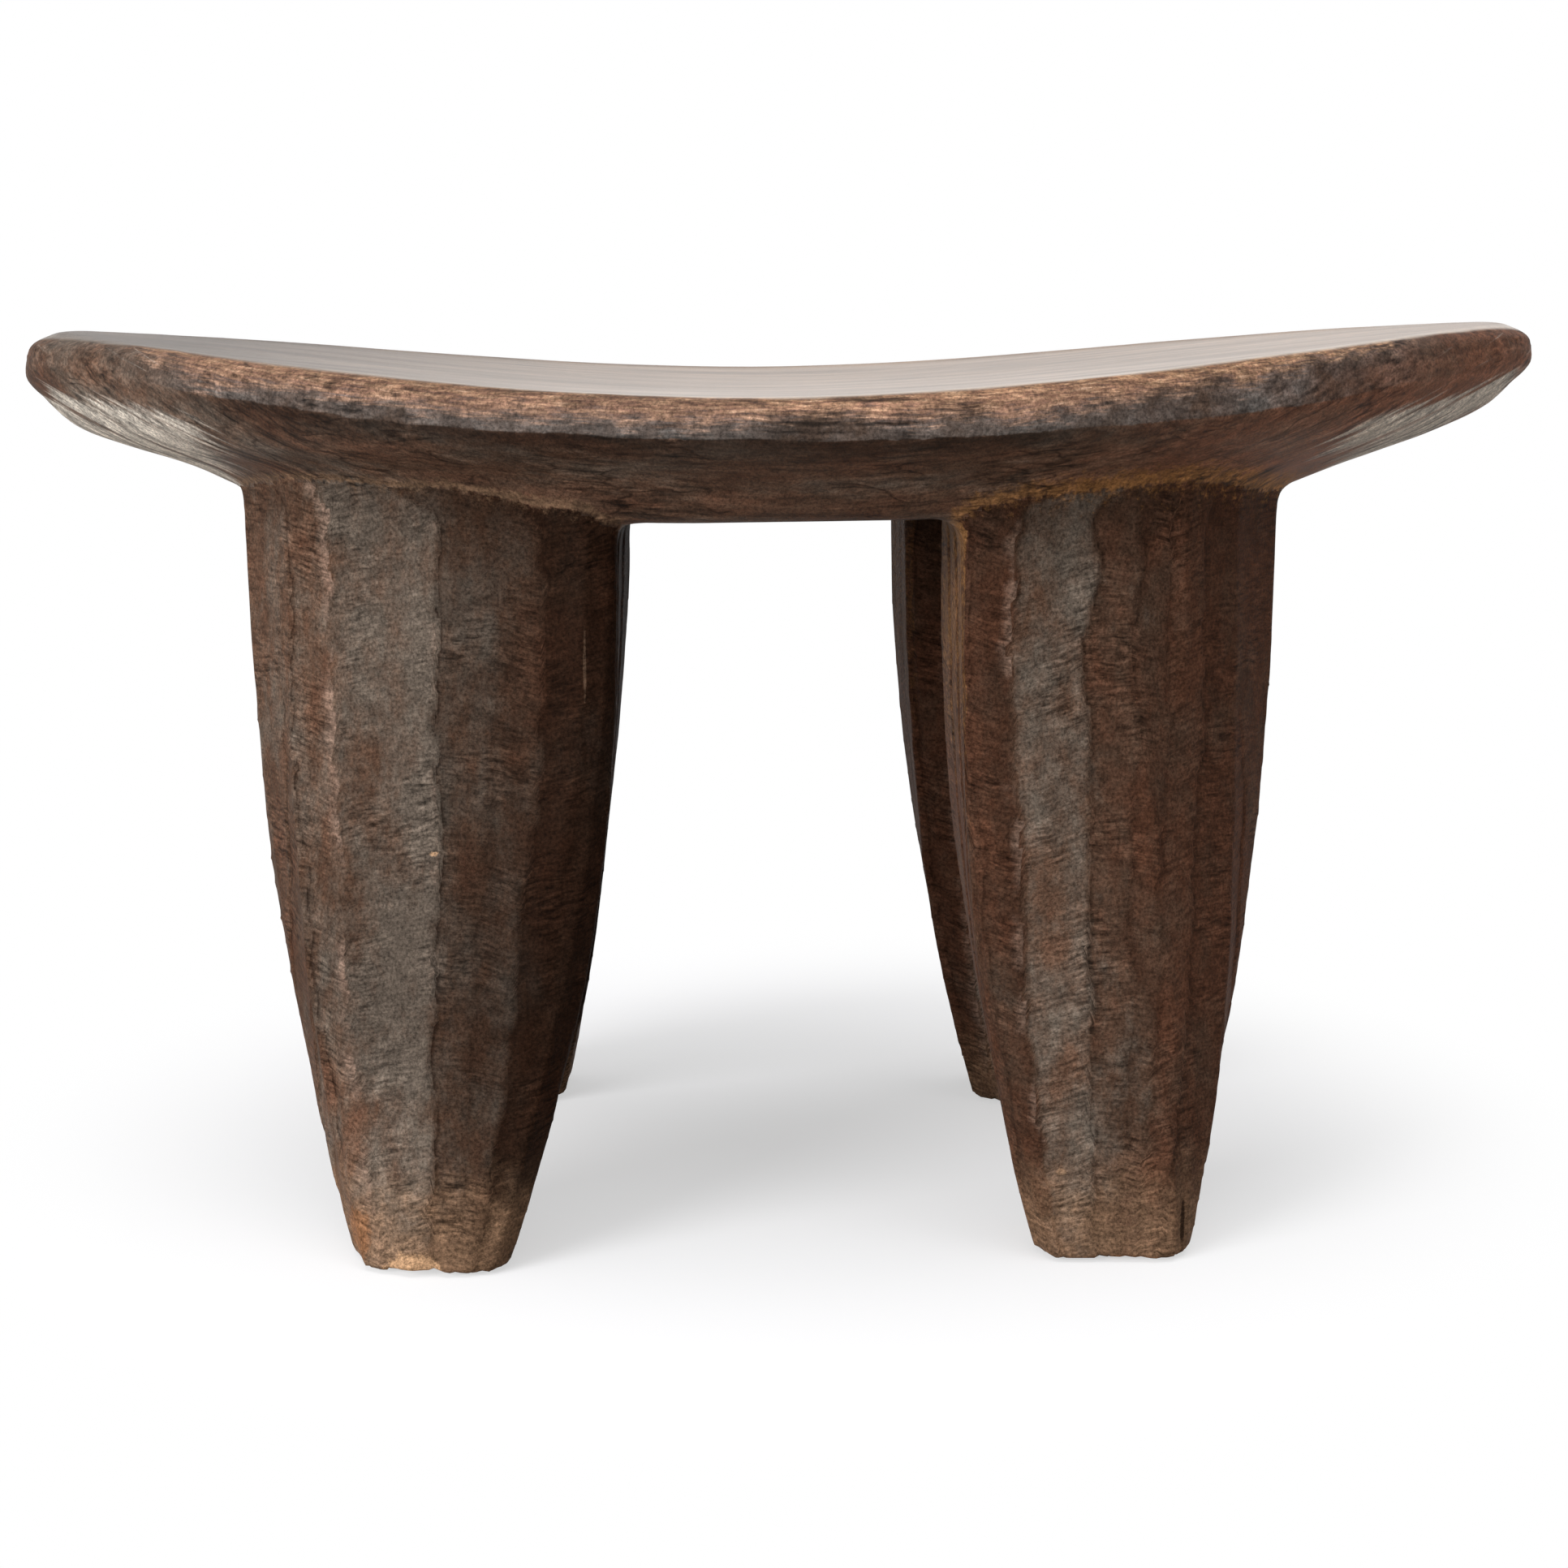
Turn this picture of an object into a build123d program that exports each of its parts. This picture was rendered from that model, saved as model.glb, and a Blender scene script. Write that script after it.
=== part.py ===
from build123d import *
import math
import os

# A low stool cut from a single block of hardwood: an oval dished seat on four stout tapering legs.
# X runs along the seat, Y from its near long side to the far one, Z up. The origin is on the floor
# under the middle of the seat. All lengths are in millimetres and all angles in degrees.

# Seat from above: an oval of four tangent arcs
seat_length = 520.0
seat_width = 292.0
seat_end_radius = 48.0

# Seat from the side: a flat keel under a dished top
leg_height = 240.5
middle_thickness = 42.0
dip_offset = -7.0         # the lowest point of the dish, along X
left_tip_rise = 16.0      # each tip above that lowest point
right_tip_rise = 21.0
tip_slope = 3.6           # how steeply the dish still climbs at its tips
cross_dish = 2.5          # the centre line below the long edges
rim_round = 9.0           # wear on the top edge

# Underside: a hull that flares from the keel's oval to the rim, higher on the right than on the
# left. Each station is its height above the keel, how far it lies inside the seat's outline at the
# left tip, the right tip and the long sides, its end radius, and its tilt. Below zero is outside.
keel_left_inset = 88.0
keel_right_inset = 97.0
keel_side_inset = 37.0
hull_stations = (
    (0.0, keel_left_inset, keel_right_inset, keel_side_inset, 66.0, 0.7),
    (10.0, 64.0, 66.0, 22.0, 60.0, 0.7),
    (20.0, 38.0, 33.0, 9.5, 50.0, 1.0),
    (28.5, 20.0, 12.0, 0.0, 42.0, 1.5),
    (42.0, 5.0, -2.5, -5.0, 34.0, 2.0),
)
hull_top = (-16.0, -22.0, -16.0, 34.0, 2.2)    # the same, clear above the tips

# Legs: each is a corner of the block, wide at the keel and narrow at the sole
leg_swell = 2.25          # fullness of the taper: 1 is straight
leg_stations = (0.12, 0.31, 0.52, 0.75)    # shares of the leg's height
leg_depth_top = 84.0
leg_depth_foot = 48.0
leg_proud = 3.0           # outer faces beyond the long sides of the keel
sole_break = 2.0          # bevel round the sole

# Adze cuts: the corners of a leg in plan. Roundness 2 is an ellipse, more is squarer. Each share
# is how much of the leg's width and of its depth the corner takes. Cuts are the angles of the
# arrises round a corner's quarter turn; the outer corner of each leg has its own.
plain_cuts = (9.0, 81.0)
inner_cuts = (9.0, 45.0, 81.0)
keel_roundness = 1.75
foot_roundness = 2.4
outer_share_keel = (0.98, 0.98)
outer_share_foot = (0.50, 0.62)
inner_share_keel = (0.09, 0.10)
inner_share_foot = (0.40, 0.30)
keel_corner = 7.0         # plain corners that face the gaps, at the keel and at the sole
foot_corner = 13.0
arris_wander = 1.1        # how far an arris strays as it runs down
wander_run = 235.0        # degrees of the wave along one leg
wander_step = 132.0       # and from one arris to the next

# Each leg: half the gap beside it at the keel and the sole, how far its outer end stands beyond
# the tip of the keel, its width at the sole, how far its foot splays, how round its foot is, the
# cuts round its outer corner, and where its arris wave starts
front_left_gap_top = 51.0
front_left_gap_foot = 87.0
front_left_end = 10.0
front_left_foot_width = 53.0
front_left_splay = 16.0
front_left_foot_round = 1.0
front_left_cuts = (9.0, 31.0, 44.0, 64.0, 72.0, 80.0)
front_left_phase = 0.0

front_right_gap_top = 54.5
front_right_gap_foot = 84.5
front_right_end = 5.5
front_right_foot_width = 52.0
front_right_splay = 1.0
front_right_foot_round = 0.5
front_right_cuts = (9.0, 30.0, 46.0, 57.0, 67.0, 80.0)
front_right_phase = 97.0

back_left_gap_top = 58.0
back_left_gap_foot = 82.0
back_left_end = 10.0
back_left_foot_width = 50.0
back_left_splay = 4.0
back_left_foot_round = 0.7
back_left_cuts = (9.0, 27.0, 40.0, 54.0, 69.0, 81.0)
back_left_phase = 178.0

back_right_gap_top = 44.0
back_right_gap_foot = 78.0
back_right_end = -3.0
back_right_foot_width = 50.0
back_right_splay = 2.0
back_right_foot_round = 0.6
back_right_cuts = (9.0, 24.0, 42.0, 53.0, 66.0, 80.0)
back_right_phase = 264.0

spare = 12.0              # blanks and cutters reach this far past what they shape
blank_share = 0.6         # of the middle's thickness: a leg's blank runs this far into the seat

dip_height = leg_height + middle_thickness
tallest = dip_height + max(left_tip_rise, right_tip_rise)
leg_face = seat_width / 2 - keel_side_inset + leg_proud
left_keel_tip = seat_length / 2 - keel_left_inset
right_keel_tip = seat_length / 2 - keel_right_inset


def oval(length, width, end_radius):
    # Two long side arcs and two short end arcs, all tangent to their neighbours
    a, b = length / 2, width / 2
    side_radius = (a * a + b * b - 2 * a * end_radius) / (2 * (b - end_radius))
    side_centre = side_radius - b
    end_centre = a - end_radius
    share = end_radius / (side_radius - end_radius)
    x = end_centre * (1 + share)
    y = side_centre * share
    far_side = ThreePointArc((x, y), (0, b), (-x, y))
    left_end = ThreePointArc((-x, y), (-a, 0), (-x, -y))
    near_side = ThreePointArc((-x, -y), (0, -b), (x, -y))
    right_end = ThreePointArc((x, -y), (a, 0), (x, y))
    return make_face([far_side, left_end, near_side, right_end])


def above_dish(y, sink):
    # Upright face at one Y that covers all that lies above the dished top
    climb = math.tan(math.radians(tip_slope))
    half = seat_length / 2
    over = tallest + 2 * spare
    dish = Spline(
        (-half, dip_height + left_tip_rise),
        (dip_offset, dip_height - sink),
        (half, dip_height + right_tip_rise),
        tangents=((1, -climb), (1, climb)),
    )
    left_out = (-half - spare, dip_height + left_tip_rise + spare * climb)
    right_out = (half + spare, dip_height + right_tip_rise + spare * climb)
    corners = Polyline(
        dish @ 1,
        right_out,
        (half + spare, over),
        (-half - spare, over),
        left_out,
        dish @ 0,
    )
    return Plane.XZ.offset(-y) * make_face([dish, corners])


def make_seat():
    # The oval block, hollowed above, its top edge worn round, and cut away below to the hull
    block = extrude(oval(seat_length, seat_width, seat_end_radius), tallest + spare)
    reach = seat_width / 2 + spare
    block -= loft([above_dish(-reach, 0), above_dish(0, cross_dish), above_dish(reach, 0)])
    top = block.faces().sort_by(Axis.Z)[-1]
    block = fillet(top.edges(), rim_round)
    stations = hull_stations + ((tallest + spare - leg_height, *hull_top),)
    sections = []
    for rise, left_inset, right_inset, side_inset, end_radius, tilt in stations:
        length = seat_length - left_inset - right_inset
        section = oval(length, seat_width - 2 * side_inset, end_radius)
        centre = Pos((left_inset - right_inset) / 2, 0, leg_height + rise)
        sections.append(centre * Rot(0, -tilt, 0) * section)
    return block & loft(sections)


def corner_cut(x, y, run_x, run_y, start, cuts, roundness):
    # Arrises on a quarter superellipse that turns from the start angle round a corner of the leg
    power = 2 / roundness
    points = []
    for cut in cuts:
        turn = math.radians(start + cut)
        across, along = math.cos(turn), math.sin(turn)
        step_x = run_x * math.copysign(abs(across) ** power, across)
        step_y = run_y * math.copysign(abs(along) ** power, along)
        points.append((x + step_x, y + step_y))
    return points


def leg_section(full, width, depth, foot_round, cuts):
    # Corners of a leg in plan, anticlockwise from the corner in the crossing of the two gaps
    def grown(foot, top):
        return foot + (top - foot) * full

    def corner_size(foot_share, keel_share):
        share_x = grown(foot_share[0] * foot_round, keel_share[0])
        share_y = grown(foot_share[1], keel_share[1])
        return share_x * width, share_y * depth

    plain = grown(foot_corner, keel_corner)
    roundness = grown(foot_roundness, keel_roundness)
    outer_x, outer_y = corner_size(outer_share_foot, outer_share_keel)
    inner_x, inner_y = corner_size(inner_share_foot, inner_share_keel)
    corners = corner_cut(plain, plain, plain, plain, 180, plain_cuts, foot_roundness)
    corners += corner_cut(width - plain, plain, plain, plain, 270, plain_cuts, foot_roundness)
    corners += corner_cut(
        width - outer_x, depth - outer_y, outer_x, outer_y, 0, cuts, roundness)
    corners += corner_cut(
        inner_x, depth - inner_y, inner_x, inner_y, 90, inner_cuts, foot_roundness)
    return corners


def make_leg(
        side, row, keel_tip, gap_top, gap_foot, end, foot_width, splay, foot_round, cuts, phase):
    # One leg, from its sole up into the seat: side is -1 at the left, row is -1 at the front
    width_top = keel_tip + end - gap_top
    heights = [sole_break]
    heights += [share * leg_height for share in leg_stations]
    heights += [leg_height, leg_height + blank_share * middle_thickness]
    sections = []
    for z in heights:
        t = min(z / leg_height, 1.0)
        full = 1 - (1 - t) ** leg_swell
        gap = gap_foot + (gap_top - gap_foot) * full
        width = foot_width + (width_top - foot_width) * full
        depth = leg_depth_foot + (leg_depth_top - leg_depth_foot) * full
        face = leg_face + splay * (1 - full)
        corners = []
        for k, (x, y) in enumerate(leg_section(full, width, depth, foot_round, cuts)):
            wave = math.radians(wander_run * t + wander_step * k + phase)
            stray = arris_wander * math.sin(wave)
            corners.append((side * (gap + x + stray), row * (face - depth + y + stray / 2)))
        sections.append(Pos(0, 0, z) * make_face(Polyline(corners, close=True)))
    ankle = sections[0]
    sole = Pos(0, 0, -sole_break) * offset(ankle, -sole_break, kind=Kind.INTERSECTION)
    return loft(sections) + loft([sole, ankle], ruled=True)


seat = make_seat()
front_left = make_leg(
    -1, -1, left_keel_tip, front_left_gap_top, front_left_gap_foot, front_left_end,
    front_left_foot_width, front_left_splay, front_left_foot_round,
    front_left_cuts, front_left_phase)
front_right = make_leg(
    1, -1, right_keel_tip, front_right_gap_top, front_right_gap_foot, front_right_end,
    front_right_foot_width, front_right_splay, front_right_foot_round,
    front_right_cuts, front_right_phase)
back_left = make_leg(
    -1, 1, left_keel_tip, back_left_gap_top, back_left_gap_foot, back_left_end,
    back_left_foot_width, back_left_splay, back_left_foot_round,
    back_left_cuts, back_left_phase)
back_right = make_leg(
    1, 1, right_keel_tip, back_right_gap_top, back_right_gap_foot, back_right_end,
    back_right_foot_width, back_right_splay, back_right_foot_round,
    back_right_cuts, back_right_phase)

nodes = {
    "seat": seat,
    "leg_front_left": front_left - seat,
    "leg_front_right": front_right - seat,
    "leg_back_left": back_left - seat,
    "leg_back_right": back_right - seat,
}

os.makedirs("parts", exist_ok=True)
for name, shape in nodes.items():
    export_step(shape, f"parts/{name}.step")
    print(name, len(shape.solids()), round(shape.volume))
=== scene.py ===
import bmesh
import bpy
import math
import numpy as np
from mathutils import Matrix, Vector, noise
from mathutils.bvhtree import BVHTree
from mathutils.kdtree import KDTree


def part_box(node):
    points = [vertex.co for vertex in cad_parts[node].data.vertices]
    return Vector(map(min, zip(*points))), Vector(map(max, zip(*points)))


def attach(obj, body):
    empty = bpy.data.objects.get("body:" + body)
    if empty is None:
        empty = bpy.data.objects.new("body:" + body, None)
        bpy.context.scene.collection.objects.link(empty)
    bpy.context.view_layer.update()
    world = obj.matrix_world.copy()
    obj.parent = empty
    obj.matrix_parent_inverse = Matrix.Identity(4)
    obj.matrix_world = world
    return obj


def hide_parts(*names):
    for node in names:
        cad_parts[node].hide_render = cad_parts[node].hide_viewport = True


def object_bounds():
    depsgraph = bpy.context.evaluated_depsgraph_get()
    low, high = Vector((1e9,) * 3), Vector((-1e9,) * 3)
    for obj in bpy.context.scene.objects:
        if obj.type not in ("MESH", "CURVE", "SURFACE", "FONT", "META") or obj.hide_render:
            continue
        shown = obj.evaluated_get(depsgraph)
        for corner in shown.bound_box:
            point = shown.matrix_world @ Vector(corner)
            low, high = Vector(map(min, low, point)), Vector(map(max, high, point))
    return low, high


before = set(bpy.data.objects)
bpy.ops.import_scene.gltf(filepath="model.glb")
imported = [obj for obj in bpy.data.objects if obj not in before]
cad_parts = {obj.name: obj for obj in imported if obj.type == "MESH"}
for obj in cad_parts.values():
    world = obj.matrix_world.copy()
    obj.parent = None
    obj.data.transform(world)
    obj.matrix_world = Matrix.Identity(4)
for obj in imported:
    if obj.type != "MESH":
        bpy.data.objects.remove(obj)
cadLow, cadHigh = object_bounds()
mm = 0.001
noise.seed_set(7)       # or the arrises stray another way in every run

legNames = ("leg_front_left", "leg_front_right", "leg_back_left", "leg_back_right")
nodeNames = ("seat",) + legNames


def linearColor(hexCode):
    channels = [int(hexCode[i:i + 2], 16) / 255 for i in (1, 3, 5)]
    return [c / 12.92 if c <= 0.04045 else ((c + 0.055) / 1.055) ** 2.4 for c in channels] + [1.0]


# Sockets go by name or number. A MapRange takes 0 from the range 1 to 2 into the range 3 to 4, a
# multiplyAdd gives 0 * 1 + 2, and a Mix of colours goes from 6 to 7 by the share 0.
smooth = {"interpolation_type": "SMOOTHSTEP"}
add = {"operation": "ADD"}
subtract = {"operation": "SUBTRACT"}
multiply = {"operation": "MULTIPLY"}
multiplyAdd = {"operation": "MULTIPLY_ADD"}
larger = {"operation": "MAXIMUM"}
ofColours = {"data_type": "RGBA"}


def addNode(tree, kind, settings=None, inputs=None):
    # settings are the node's own options; inputs are values, sockets or nodes' first outputs
    node = tree.nodes.new("ShaderNode" + kind)
    for key, value in (settings or {}).items():
        setattr(node, key, value)
    for key, value in (inputs or {}).items():
        if isinstance(value, bpy.types.Node):
            value = value.outputs[0]
        if isinstance(value, bpy.types.NodeSocket):
            tree.links.new(value, node.inputs[key])
        else:
            node.inputs[key].default_value = value
    return node


def eased(value, low, high):
    t = np.clip((value - low) / (high - low), 0.0, 1.0)
    return t * t * (3 - 2 * t)


view = {
    "lens": 65.36,
    "place": (-8.58, -998.06, 319.3),    # in mm
    "pitch": 10.25,                      # angles in degrees
    "yaw": 0.60,
    "roll": -0.214,
}


def placeCamera():
    camera = bpy.data.objects.new("camera", bpy.data.cameras.new("camera"))
    camera.data.lens = view["lens"]
    camera.data.sensor_width = 36.0
    pitch, yaw, roll = (math.radians(view[key]) for key in ("pitch", "yaw", "roll"))
    level = math.cos(pitch)
    ahead = Vector((math.sin(yaw) * level, math.cos(yaw) * level, -math.sin(pitch)))
    right = Vector((math.cos(yaw), -math.sin(yaw), 0.0))
    up = right.cross(ahead)
    turnedRight = right * math.cos(roll) - up * math.sin(roll)
    turnedUp = right * math.sin(roll) + up * math.cos(roll)
    turn = Matrix((turnedRight, turnedUp, -ahead)).transposed().to_4x4()
    camera.matrix_world = Matrix.Translation(Vector(view["place"]) * mm) @ turn
    bpy.context.collection.objects.link(camera)
    bpy.context.scene.camera = camera


placeCamera()
print("camera placed")


block = {
    "voxel": 1.7,              # mesh spacing, in mm as all lengths here
    "coveReach": 6.0,          # how far the coves under the seat spread from each crease
    "leftCove": 4,             # rounds of smoothing: tight creases at the left, wider at the right
    "rightCove": 14,
    "seatArris": 9.0,          # a bend sharper than this, in degrees, is an arris of the seat
    "legArris": 6.5,
    "rimRise": 18.0,           # the rim's lower arris lies at least this far above the keel,
    "rimLean": (-0.35, 0.1),   # and the upper of its two faces leans this much up or down
    "hollow": 0.5,             # how deep the facets are hollowed between arrises
    "hollowReach": 6.0,
    "scoop": 0.5,              # depth of single cuts, and their size across and along the strokes
    "legScoopSize": (15.0, 15.0, 38.0),
    "seatScoopSize": (44.0, 18.0, 15.0),
    "dishShare": 0.1,          # of the cuts that is left in the polished dish
    "swell": 0.4,              # slow unevenness of hand work, and its size
    "swellSize": (55.0, 55.0, 70.0),
    "stray": 1.5,              # how far an arris strays sideways, slowly and quickly
    "slowSize": (34.0, 34.0, 30.0),
    "quickSize": (11.0, 11.0, 12.0),
    "ridgeReach": 4.5,         # how wide an arris is rubbed
    "lip": 5.0,                # how far each piece reaches into the wood behind its crease
}

tips = {
    "rounds": 20,              # rounds of wear on the edges of the two tips
    "start": 205.0,            # from here outwards, in mm from the middle
    "fill": 1.3,               # how full they stay, in mm, and from where to where that grows
    "fillFrom": 226.0,
    "fillFull": 250.0,
    "round": 2.0,              # how round each nose is, and how high it lies
    "leftNose": 284.0,
    "rightNose": 290.5,
    "spare": 0.3,              # extra length that the carving takes off again
}

# Facets of a leg, by share of its width from its left edge: where each begins, how deep its cut
# laps under the one before in mm, its tone from -1 for red to 1 for grey (the grey is partly a
# painted sheen), how light it is (mostly painted light and shade), how dark the crack at its
# start is, and how worn that arris is
leftFacets = {
    "start": (-1.0, 0.135, 0.265, 0.54, 0.67, 0.80, 2.0),
    "lap": (0.0, 0.6, 0.6, 1.0, 0.6, 0.6),
    "tone": (0.1, 0.4, 0.9, 0.3, 0.1, -0.3),
    "shade": (1.25, 1.32, 1.1, 0.61, 0.5, 0.16),
    "crack": (0.0, 0.8, 0.1, 0.95, 0.3, 0.6),
    "wear": (0.0, 0.1, 1.0, 0.5, 0.2, 0.1),
}
rightFacets = {
    "start": (-1.0, 0.03, 0.165, 0.385, 0.525, 0.63, 0.75, 2.0),
    "lap": (0.0, 0.5, 0.7, 0.9, 0.6, 0.5, 0.5),
    "tone": (-0.8, -0.7, 0.6, -0.1, -0.5, -0.8, -1.0),
    "shade": (0.95, 0.7, 1.36, 1.03, 0.98, 1.12, 0.87),
    "crack": (0.0, 0.6, 0.1, 0.5, 0.4, 0.3, 0.6),
    "wear": (0.0, 0.3, 0.9, 0.4, 0.2, 0.2, 0.3),
}
sideFacets = {                 # the same on the faces that look along the seat, from front to back
    "start": (-1.0, 0.27, 0.55, 0.8, 2.0),
    "lap": (0.0, 0.6, 0.7, 0.6),
    "tone": (0.0, -0.3, 0.3, -0.2),
    "shade": (1.0, 0.92, 1.0, 0.9),
    "crack": (0.0, 0.7, 0.4, 0.6),
    "wear": (0.0, 0.4, 0.6, 0.3),
}
facetEdge = {
    "blend": 0.015,            # share of the leg's width over which one facet turns into the next
    "slant": 0.3,              # how steeply the strokes can run across a facet
    "reach": 12.0,             # how far crack and wear can spread from an arris, in mm
}

# Single marks on the legs: middle and half size in mm, colour, how strong, how deep in mm
marks = (
    ((-111.0, -116.0, 135.0), (2.2, 14.0, 1.2), "chip", 0.9, 0.2),
    ((-62.0, -113.0, 196.0), (0.5, 14.0, 12.0), "fibrePale", 0.12, 0.1),
    ((-118.0, -124.0, 2.0), (9.5, 16.0, 6.0), "chip", 0.85, 1.2),
    ((-137.0, -117.0, 12.0), (5.0, 16.0, 9.0), "bare", 0.6, 0.2),
    ((111.0, -106.0, 0.5), (16.0, 14.0, 2.2), "bare", 0.8, 0.4),
    ((132.0, -109.0, 12.0), (0.8, 14.0, 10.0), "dark", 0.8, 0.3),
    ((-121.0, -118.0, 227.0), (2.5, 14.0, 0.8), "dark", 0.7, 0.2),
    ((-108.0, -119.0, 229.0), (4.0, 14.0, 0.8), "dark", 0.6, 0.2),
    ((91.0, -106.0, 31.0), (2.0, 14.0, 1.2), "chip", 0.25, 0.1),
)


def mergedShell(names):
    shell = bmesh.new()
    for name in names:
        shell.from_mesh(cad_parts[name].data)
    bmesh.ops.remove_doubles(shell, verts=shell.verts, dist=0.01 * mm)
    return shell


def fusedBlock():
    # The five solids as one skin of even mesh, as the stool is one piece of wood
    shell = mergedShell(nodeNames)
    mesh = bpy.data.meshes.new("block")
    shell.to_mesh(mesh)
    shell.free()
    holder = bpy.data.objects.new("block", mesh)
    bpy.context.collection.objects.link(holder)
    remesh = holder.modifiers.new("skin", "REMESH")
    remesh.mode = "VOXEL"
    remesh.voxel_size = block["voxel"] * mm
    remeshed = holder.evaluated_get(bpy.context.evaluated_depsgraph_get())
    skin = bpy.data.meshes.new_from_object(remeshed)
    bpy.data.objects.remove(holder)
    return skin


def isArris(name, edge, keel):
    a, b = (v.co for v in edge.verts)
    if name != "seat":                 # arrises run down a leg
        return abs(a.z - b.z) > 0.7 * (a - b).length
    low, high = block["rimLean"]       # and where the upright rim meets the hull
    lean = max(f.normal.z for f in edge.link_faces)
    return min(a.z, b.z) > keel + block["rimRise"] * mm and low < lean < high


def readSolid(name):
    # What the carving needs from one solid: its surface and the arrises along it
    shell = mergedShell([name])
    sharp = math.radians(block["seatArris" if name == "seat" else "legArris"])
    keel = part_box("seat")[0][2]
    bends = [e for e in shell.edges if len(e.link_faces) == 2 and e.calc_face_angle(0) > sharp]
    spots = []
    for edge in bends:
        if isArris(name, edge, keel):
            a, b = (v.co for v in edge.verts)
            steps = max(1, math.ceil((b - a).length / mm))
            spots += [a.lerp(b, k / steps) for k in range(steps)]
    lines = KDTree(len(spots))
    for k, spot in enumerate(spots):
        lines.insert(spot, k)
    lines.balance()
    solid = {"surface": BVHTree.FromBMesh(shell), "lines": lines}
    print(name, len(spots), "points of arris")
    shell.free()
    return solid


solids = {name: readSolid(name) for name in nodeNames}
print("solids read")


def seatAndLegDistance(place):
    leg = legNames[int(place.x > 0) + 2 * int(place.y > 0)]
    return [solids[name]["surface"].find_nearest(place)[3] for name in ("seat", leg)]


def meshPoints(mesh):
    points = np.empty(len(mesh.vertices) * 3)
    mesh.vertices.foreach_get("co", points)
    return points.reshape(-1, 3)


def meshNormals(mesh):
    normals = np.empty(len(mesh.vertices) * 3)
    mesh.vertex_normals.foreach_get("vector", normals)
    return normals.reshape(-1, 3)


def creasesAndOwners(points):
    # How near each point is to a crease, in mm, and whose it is: 0 the seat, then the legs in order
    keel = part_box("seat")[0][2]
    top = max(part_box(name)[1][2] for name in legNames)
    owners = 1 + (points[:, 0] > 0).astype(int) + 2 * (points[:, 1] > 0).astype(int)
    owners[points[:, 2] > top] = 0
    far = np.full(len(points), 100.0)
    nearCrease = (points[:, 2] > keel - 30 * mm) & (points[:, 2] < top + 20 * mm)
    for i in np.nonzero(nearCrease)[0]:
        fromSeat, fromLeg = seatAndLegDistance(Vector(points[i]))
        far[i] = max(fromSeat, fromLeg) / mm
        if fromSeat < fromLeg:
            owners[i] = 0
    return far, owners


def smoothSkin(mesh):
    shell = bmesh.new()
    shell.from_mesh(mesh)
    everyWay = {"use_axis_x": True, "use_axis_y": True, "use_axis_z": True}
    bmesh.ops.smooth_vert(shell, verts=shell.verts, factor=0.4, **everyWay)
    far, owners = creasesAndOwners(meshPoints(mesh))
    shell.verts.ensure_lookup_table()
    near = [shell.verts[i] for i in np.nonzero(far < block["coveReach"])[0]]
    for rounds, side in ((block["leftCove"], -1), (block["rightCove"], 1)):
        cove = [v for v in near if v.co.x * side > 0]
        for _ in range(rounds):
            bmesh.ops.smooth_vert(shell, verts=cove, factor=0.5, **everyWay)
    for k in range(tips["rounds"]):
        start = (tips["start"] + k) * mm
        tip = [v for v in shell.verts if abs(v.co.x) > start]
        bmesh.ops.smooth_vert(shell, verts=tip, factor=0.5, **everyWay)
    shell.to_mesh(mesh)
    shell.free()
    fillTips(mesh)
    return far, owners


def fillTips(mesh):
    # Give back what the smoothing took from the tips, round their noses and restore their length
    points, normals = meshPoints(mesh), meshNormals(mesh)
    start = tips["start"] * mm
    outer = eased(np.abs(points[:, 0]) / mm, tips["fillFrom"], tips["fillFull"])
    outer *= 1 - eased(normals[:, 2], 0.4, 0.9)        # not on the top
    points += normals * (outer * tips["fill"] * mm)[:, None]
    for side, reach, nose in ((-1, -cadLow[0], "leftNose"), (1, cadHigh[0], "rightNose")):
        tip = points[:, 0] * side > start
        above = np.clip((points[:, 2] / mm - tips[nose]) / 10, -0.9, 1.6) ** 2
        rounding = above * eased(points[:, 0] * side / mm, 225, 255)
        points[tip, 0] -= side * tips["round"] * mm * rounding[tip]
        length = (points[:, 0] * side).max() - start
        grow = (reach + tips["spare"] * mm - start) / length
        points[tip, 0] = side * (start + (points[tip, 0] * side - start) * grow)
    mesh.vertices.foreach_set("co", points.ravel())
    mesh.update()


def legEdges(points, owners):
    # Left and right edge of each leg at every height, in mm
    step = 5
    heights = np.arange(0, 270, step)
    edges = {}
    for k in range(1, 5):
        own = points[owners == k] / mm
        level = np.clip(own[:, 2] // step, 0, len(heights) - 1).astype(int)
        known = [n for n in range(len(heights)) if (level == n).any()]
        left = [own[level == n, 0].min() for n in known]
        right = [own[level == n, 0].max() for n in known]
        edges[k] = heights[known] + step / 2, left, right
    return edges


def onFacet(facets, share, width):
    # What the table says at one share of a leg's width, with the way to the arrises on both sides
    k = int(np.searchsorted(facets["start"], share, side="right")) - 1
    last = len(facets["lap"]) - 1
    start, end = max(facets["start"][k], 0.0), min(facets["start"][k + 1], 1.0)
    along = min(max((share - start) / (end - start), 0.0), 1.0)
    other = min(max(k + (1 if along > 0.5 else -1), 0), last)
    blend = 0.5 - 0.5 * min(min(along, 1 - along) * (end - start) / facetEdge["blend"], 1.0)
    found = {}
    for key in ("tone", "shade"):
        found[key] = facets[key][k] * (1 - blend) + facets[key][other] * blend
    slope = facetEdge["slant"] * math.sin(2.1 * k)
    found["slant"] = slope * along * (end - start) * width * mm
    found["depth"] = facets["lap"][k] * (1 - along) ** 2
    way = (end - start) * width / facetEdge["reach"]
    found["after"] = min(along * way, 1.0) if k > 0 else 1.0
    found["before"] = min((1 - along) * way, 1.0) if k < last else 1.0
    found["crack"] = facets["crack"][k]
    found["wear"] = facets["wear"][min(k + 1, last)]
    return found


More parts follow.
